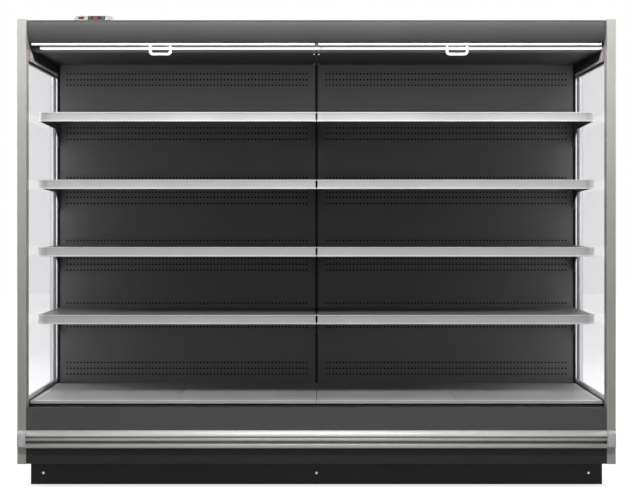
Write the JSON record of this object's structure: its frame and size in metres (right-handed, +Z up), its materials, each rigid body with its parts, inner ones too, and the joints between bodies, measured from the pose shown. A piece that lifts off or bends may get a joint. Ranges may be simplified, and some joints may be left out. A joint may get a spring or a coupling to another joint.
{
  "type": "open multideck display fridge",
  "caption": "Open-fronted chilled display cabinet with glazed ends, lit canopy, night blinds, cantilever shelves on slotted uprights and a lift-out deck over fans and a coil.",
  "frame": {"origin": "on the floor, under the middle of the cabinet's bounding box", "axes": "+X along the front from left to right as the shopper sees it, +Y from the shopper's side to the rear, +Z up"},
  "size_m": [2.58, 0.85, 2.047],
  "materials": {
    "post_grey": "satin powder coat",
    "casing_grey": "satin powder coat",
    "fascia_grey": "satin powder coat",
    "shelf_white": "satin powder coat",
    "panel_grey": "satin powder coat",
    "deck_grey": "satin powder coat",
    "trim_white": "satin powder coat",
    "front_grey": "satin powder coat",
    "kick_black": "satin powder coat",
    "bumper_metal": "drawn, satin",
    "cap_grey": "moulded",
    "clear_glass": "clear, polished",
    "seal_rubber": "matt",
    "lens_white": "frosted, lit from behind",
    "lamp_metal": "anodised",
    "bar_white": "satin powder coat",
    "blind_fabric": "coated weave",
    "roller_metal": "tube wound with cloth",
    "bracket_metal": "satin powder coat",
    "foam_core": "foam between coated sheets",
    "liner_metal": "satin powder coat",
    "base_metal": "satin powder coat",
    "foot_zinc": "zinc plated",
    "fan_sheet": "satin powder coat",
    "motor_black": "moulded",
    "rotor_black": "moulded",
    "coil_aluminium": "pressed fins on copper tube",
    "console_white": "moulded",
    "control_black": "moulded",
    "key_grey": "moulded",
    "rocker_red": "moulded, translucent",
    "gland_black": "moulded"
  },
  "bodies": {
    "cabinet": {"front_post_left": "post_grey", "front_post_right": "post_grey", "side_casing_left": "casing_grey", "side_casing_right": "casing_grey", "canopy_fascia": "fascia_grey", "back_panels": "panel_grey", "ceiling_panels": "panel_grey", "slotted_uprights": "panel_grey", "air_outlet": "panel_grey", "deck_rails": "deck_grey", "intake_grille": "deck_grey", "side_trims": "trim_white", "front_riser": "front_grey", "lower_front_panel": "front_grey", "kick_plate": "kick_black", "bumper_rail": "bumper_metal", "bumper_caps": "cap_grey", "side_glass_left": "clear_glass", "side_glass_right": "clear_glass", "glass_seals": "seal_rubber", "lamp_lenses": "lens_white", "lamp_bodies": "lamp_metal", "blind_brackets": "bracket_metal", "insulated_tub": "foam_core", "rear_wall": "foam_core", "roof_panel": "foam_core", "tub_liner": "liner_metal", "base_frame": "base_metal", "levelling_feet": "foot_zinc", "cover_screws": "foot_zinc", "fan_plate": "fan_sheet", "fan_motors": "motor_black", "evaporator": "coil_aluminium", "controller_housing": "console_white", "controller_unit": "control_black", "cable_gland": "gland_black"},
    "blind_roll_left": {"blind_roller_left": "roller_metal"},
    "blind_roll_right": {"blind_roller_right": "roller_metal"},
    "blind_left": {"blind_bar_left": "bar_white", "blind_curtain_left": "blind_fabric"},
    "blind_right": {"blind_bar_right": "bar_white", "blind_curtain_right": "blind_fabric"},
    "shelf_left_1_body": {"shelf_left_1": "shelf_white"},
    "shelf_left_2_body": {"shelf_left_2": "shelf_white"},
    "shelf_left_3_body": {"shelf_left_3": "shelf_white"},
    "shelf_left_4_body": {"shelf_left_4": "shelf_white"},
    "shelf_right_1_body": {"shelf_right_1": "shelf_white"},
    "shelf_right_2_body": {"shelf_right_2": "shelf_white"},
    "shelf_right_3_body": {"shelf_right_3": "shelf_white"},
    "shelf_right_4_body": {"shelf_right_4": "shelf_white"},
    "deck_tray_1_body": {"deck_tray_1": "deck_grey"},
    "deck_tray_2_body": {"deck_tray_2": "deck_grey"},
    "deck_tray_3_body": {"deck_tray_3": "deck_grey"},
    "deck_tray_4_body": {"deck_tray_4": "deck_grey"},
    "fan_rotor_1_body": {"fan_rotor_1": "rotor_black"},
    "fan_rotor_2_body": {"fan_rotor_2": "rotor_black"},
    "fan_rotor_3_body": {"fan_rotor_3": "rotor_black"},
    "switch_rocker": {"light_switch": "rocker_red"},
    "key_up": {"controller_key_up": "key_grey"},
    "key_down": {"controller_key_down": "key_grey"}
  },
  "joints": [
    {"name": "blind_pull_left", "type": "slide", "parent": "cabinet", "child": "blind_left", "axis": [0, 0, -1], "range_m": [0, 1.5], "stiffness_N_per_m": 9, "springref_m": -1.2, "deforming": ["blind_curtain_left"]},
    {"name": "blind_roll_left", "type": "hinge", "parent": "cabinet", "child": "blind_roll_left", "pos_m": [-0.624, -0.313, 1.975], "axis": [1, 0, 0], "range_deg": [0, 2870]},
    {"name": "blind_pull_right", "type": "slide", "parent": "cabinet", "child": "blind_right", "axis": [0, 0, -1], "range_m": [0, 1.5], "stiffness_N_per_m": 9, "springref_m": -1.2, "deforming": ["blind_curtain_right"]},
    {"name": "blind_roll_right", "type": "hinge", "parent": "cabinet", "child": "blind_roll_right", "pos_m": [0.624, -0.313, 1.975], "axis": [1, 0, 0], "range_deg": [0, 2870]},
    {"name": "shelf_left_1_lift", "type": "hinge", "parent": "cabinet", "child": "shelf_left_1_body", "pos_m": [-0.62325, 0.299, 1.624], "axis": [-1, 0, 0], "range_deg": [0, 10]},
    {"name": "shelf_left_2_lift", "type": "hinge", "parent": "cabinet", "child": "shelf_left_2_body", "pos_m": [-0.62325, 0.299, 1.324], "axis": [-1, 0, 0], "range_deg": [0, 10]},
    {"name": "shelf_left_3_lift", "type": "hinge", "parent": "cabinet", "child": "shelf_left_3_body", "pos_m": [-0.62325, 0.299, 1.024], "axis": [-1, 0, 0], "range_deg": [0, 10]},
    {"name": "shelf_left_4_lift", "type": "hinge", "parent": "cabinet", "child": "shelf_left_4_body", "pos_m": [-0.62325, 0.299, 0.724], "axis": [-1, 0, 0], "range_deg": [0, 10]},
    {"name": "shelf_right_1_lift", "type": "hinge", "parent": "cabinet", "child": "shelf_right_1_body", "pos_m": [0.62325, 0.299, 1.624], "axis": [-1, 0, 0], "range_deg": [0, 10]},
    {"name": "shelf_right_2_lift", "type": "hinge", "parent": "cabinet", "child": "shelf_right_2_body", "pos_m": [0.62325, 0.299, 1.324], "axis": [-1, 0, 0], "range_deg": [0, 10]},
    {"name": "shelf_right_3_lift", "type": "hinge", "parent": "cabinet", "child": "shelf_right_3_body", "pos_m": [0.62325, 0.299, 1.024], "axis": [-1, 0, 0], "range_deg": [0, 10]},
    {"name": "shelf_right_4_lift", "type": "hinge", "parent": "cabinet", "child": "shelf_right_4_body", "pos_m": [0.62325, 0.299, 0.724], "axis": [-1, 0, 0], "range_deg": [0, 10]},
    {"name": "deck_tray_1_lift", "type": "slide", "parent": "cabinet", "child": "deck_tray_1_body", "axis": [0, 0, 1], "range_m": [0, 0.15]},
    {"name": "deck_tray_2_lift", "type": "slide", "parent": "cabinet", "child": "deck_tray_2_body", "axis": [0, 0, 1], "range_m": [0, 0.15]},
    {"name": "deck_tray_3_lift", "type": "slide", "parent": "cabinet", "child": "deck_tray_3_body", "axis": [0, 0, 1], "range_m": [0, 0.15]},
    {"name": "deck_tray_4_lift", "type": "slide", "parent": "cabinet", "child": "deck_tray_4_body", "axis": [0, 0, 1], "range_m": [0, 0.15]},
    {"name": "fan_1_spin", "type": "hinge", "parent": "cabinet", "child": "fan_rotor_1_body", "pos_m": [-0.8, -0.2765, 0.24875], "axis": [0, 1, 0], "continuous": true},
    {"name": "fan_2_spin", "type": "hinge", "parent": "cabinet", "child": "fan_rotor_2_body", "pos_m": [0, -0.2765, 0.24875], "axis": [0, 1, 0], "continuous": true},
    {"name": "fan_3_spin", "type": "hinge", "parent": "cabinet", "child": "fan_rotor_3_body", "pos_m": [0.8, -0.2765, 0.24875], "axis": [0, 1, 0], "continuous": true},
    {"name": "light_switch_rock", "type": "hinge", "parent": "cabinet", "child": "switch_rocker", "pos_m": [-1.021, -0.35888, 2.03388], "axis": [0, -0.7071, -0.7071], "range_deg": [0, 24]},
    {"name": "key_up_press", "type": "slide", "parent": "cabinet", "child": "key_up", "axis": [0, 0.7071, -0.7071], "range_m": [0, 0.0008], "stiffness_N_per_m": 500, "springref_m": -0.001},
    {"name": "key_down_press", "type": "slide", "parent": "cabinet", "child": "key_down", "axis": [0, 0.7071, -0.7071], "range_m": [0, 0.0008], "stiffness_N_per_m": 500, "springref_m": -0.001}
  ],
  "couplings": [
    {"joint": "blind_roll_left", "follows": "blind_pull_left", "rad_per_m": 33.333},
    {"joint": "blind_roll_right", "follows": "blind_pull_right", "rad_per_m": 33.333}
  ]
}
